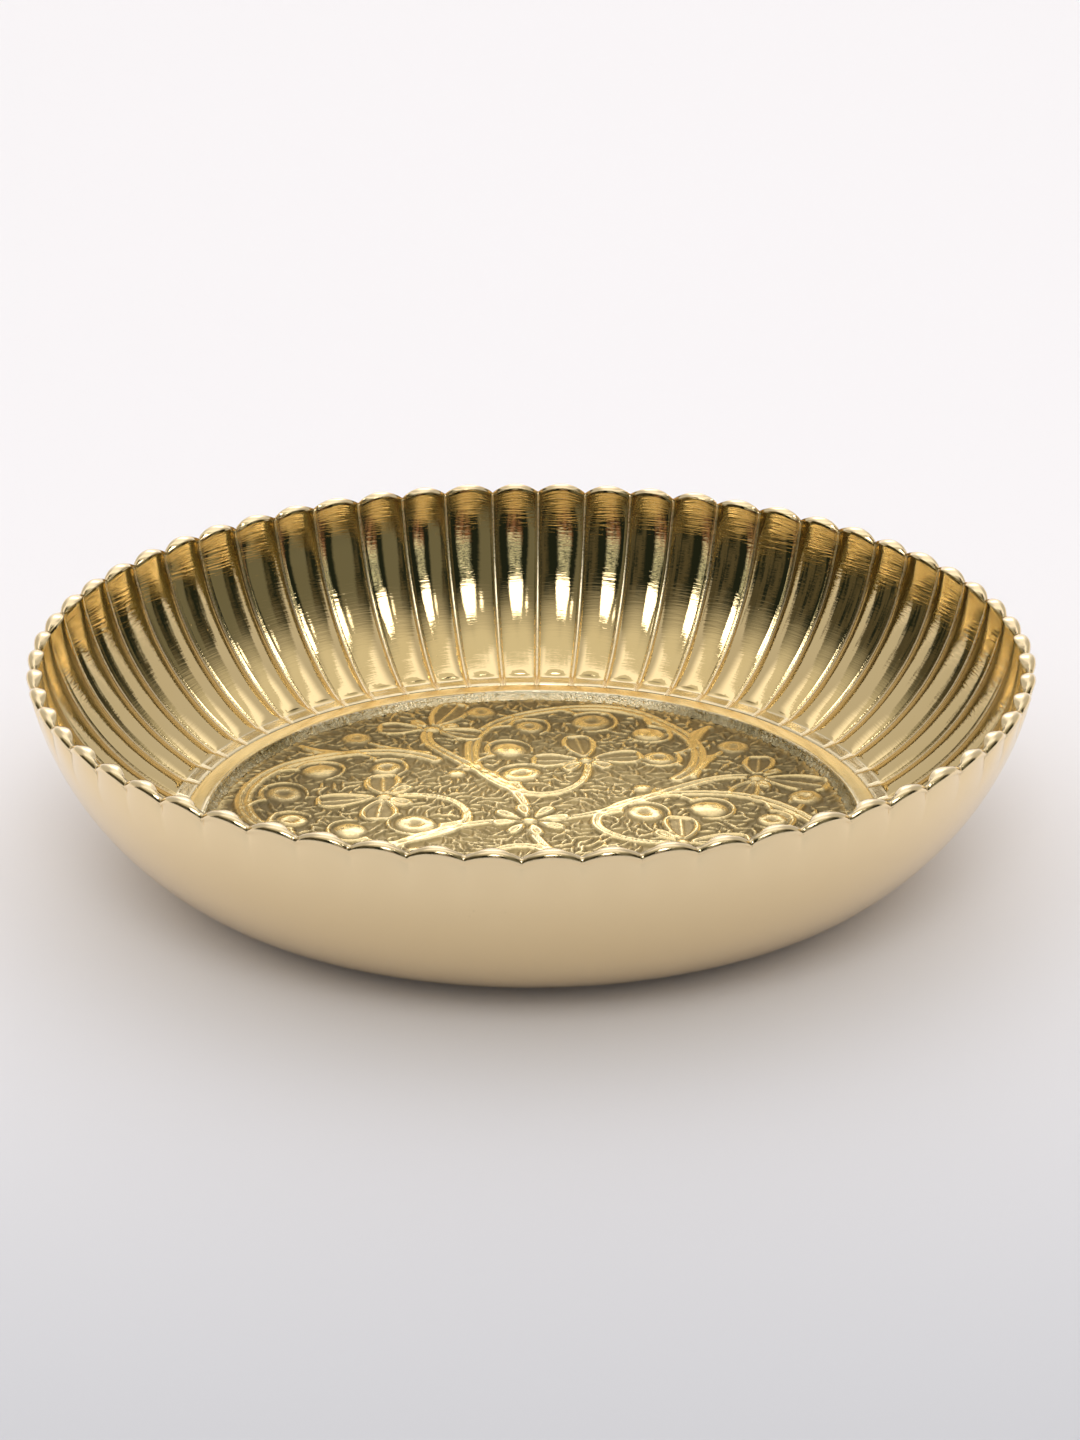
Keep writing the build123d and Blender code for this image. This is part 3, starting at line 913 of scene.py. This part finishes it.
def dim_room(sky):
    """The viewer's side: dark green gloom, brown shapes, a grey card and a silvery stand."""
    shapes = sky.edge(sky.noise(4.0, (1, 1, 1.6)), 0.50, 0.56)
    view = sky.mix(shapes, GLOOM, (0.075, 0.068, 0.045, 1))
    left = sky.patch((-85, -30), (-5, 50), 1.0)
    view = sky.mix(sky.product(left, sky.edge(sky.noise(7.0), 0.46, 0.54)), view, (0.085, 0.076, 0.050, 1))
    view = sky.mix(sky.patch((-34, 32), (-20, 50), 2.0), view, GLOOM)
    view = sky.mix(sky.patch((30, 66), (-5, 54), 1.0), view, (0.155, 0.155, 0.12, 1))
    mottle = sky.edge(sky.noise(1.0, (7, 7, 14)), 0.46, 0.54)
    view = sky.mix(sky.product(sky.patch((-14, 15), (-12, 20), 2.0), mottle), view, (0.30, 0.155, 0.105, 1))
    lines = sky.edge(sky.noise(1.0, (5, 5, 30)), 0.49, 0.55)
    return sky.mix(sky.product(sky.patch((-13, 14), (15, 47), 2.0), lines), view, (0.86, 0.92, 0.82, 1))


def lit_ceiling(sky, view):
    """Ceiling, paler towards the top of the backdrop, with the softbox and a small lamp in it."""
    lift = sky.total(sky.elevation, sky.product(sky.away, 0.20))
    ceiling = sky.mix(sky.edge(lift, 54, 82), (0.24, 0.23, 0.19, 1), (0.70, 0.67, 0.58, 1))
    view = sky.mix(sky.edge(lift, 46, 62), view, ceiling)
    view = sky.mix(sky.patch((-18, 20), (44, 63), 0.6), view, (5.0, 5.0, 5.0, 1))
    return sky.mix(sky.patch((36, 42), (50, 56), 1.0), view, (4.0, 4.0, 4.0, 1))


def white_backdrop(sky, view):
    """Paper backdrop behind the tray, with a ragged side edge and a bright window low in its middle."""
    wall = sky.mix(sky.edge(sky.away, 150, 174), (0.55, 0.53, 0.50, 1), (1.10, 1.07, 1.04, 1))
    wall = sky.mix(sky.edge(sky.elevation, 2, 14), PAPER, wall)
    window = sky.product(sky.edge(sky.away, 168, 174), sky.band(sky.elevation, 20, 34, 2.0))
    wall = sky.mix(window, wall, (2.4, 2.35, 2.3, 1))
    wall = sky.mix(sky.edge(sky.elevation, 46, 66), wall, (1.20, 1.17, 1.15, 1))
    ragged = sky.product(sky.math("SUBTRACT", sky.noise(6.0), 0.5), 30.0)
    return sky.mix(sky.edge(sky.total(sky.away, ragged), 96, 99), view, wall)


def soft_dome(sky):
    """Even light for the floor: weak near the horizon, and a little stronger on the far side."""
    side = sky.edge(sky.away, 30, 150)
    high_light = sky.mix(side, (1.00, 1.00, 1.02, 1), (1.26, 1.23, 1.24, 1))
    low_light = sky.mix(side, (0.62, 0.62, 0.63, 1), (0.50, 0.48, 0.48, 1))
    return sky.mix(sky.edge(sky.elevation, 5, 50), low_light, high_light)


sky = Sky()
studio = white_backdrop(sky, lit_ceiling(sky, dim_room(sky)))
studio = sky.mix(sky.edge(sky.elevation, -1, -4), studio, PAPER)
path = sky.nt.nodes.new("ShaderNodeLightPath")
on_paper = sky.math("GREATER_THAN", path.outputs["Diffuse Depth"], 0.5)
lit = sky.mix(on_paper, studio, soft_dome(sky))
seen = sky.mix(path.outputs["Is Camera Ray"], lit, PLAIN)
background = sky.nt.nodes.new("ShaderNodeBackground")
sky.nt.links.new(seen, background.inputs["Color"])
world_out = sky.nt.nodes.new("ShaderNodeOutputWorld")
sky.nt.links.new(background.outputs[0], world_out.inputs["Surface"])


# ------------------------------------------------------------------ camera
CAMERA_PLACE = Vector((0.0, -0.67989, 0.30887))  # metres, before the turn to the viewer's place
CAMERA_AIM = Vector((0.00231, 0.92334, -0.38398)).normalized()
CAMERA_ROLL = radians(-0.057)
LENS, SENSOR, FAR_CLIP = 91.65, 36.0, 60  # mm, mm, metres

camera_data = bpy.data.cameras.new("camera")
camera_data.sensor_fit = "AUTO"
camera_data.sensor_width = SENSOR
camera_data.lens = LENS
camera_data.clip_end = FAR_CLIP
camera = bpy.data.objects.new("camera", camera_data)
bpy.context.scene.collection.objects.link(camera)
right = Vector((CAMERA_AIM.y, -CAMERA_AIM.x, 0)).normalized()
up = right.cross(CAMERA_AIM)
c, s = cos(CAMERA_ROLL), sin(CAMERA_ROLL)
right, up = right * c + up * s, up * c - right * s
basis = Matrix((right, up, -CAMERA_AIM)).transposed().to_4x4()
basis.translation = CAMERA_PLACE
camera.matrix_world = Matrix.Rotation(-VIEW_TURN, 4, "Z") @ basis
bpy.context.scene.camera = camera
bpy.context.scene.view_settings.view_transform = "Standard"
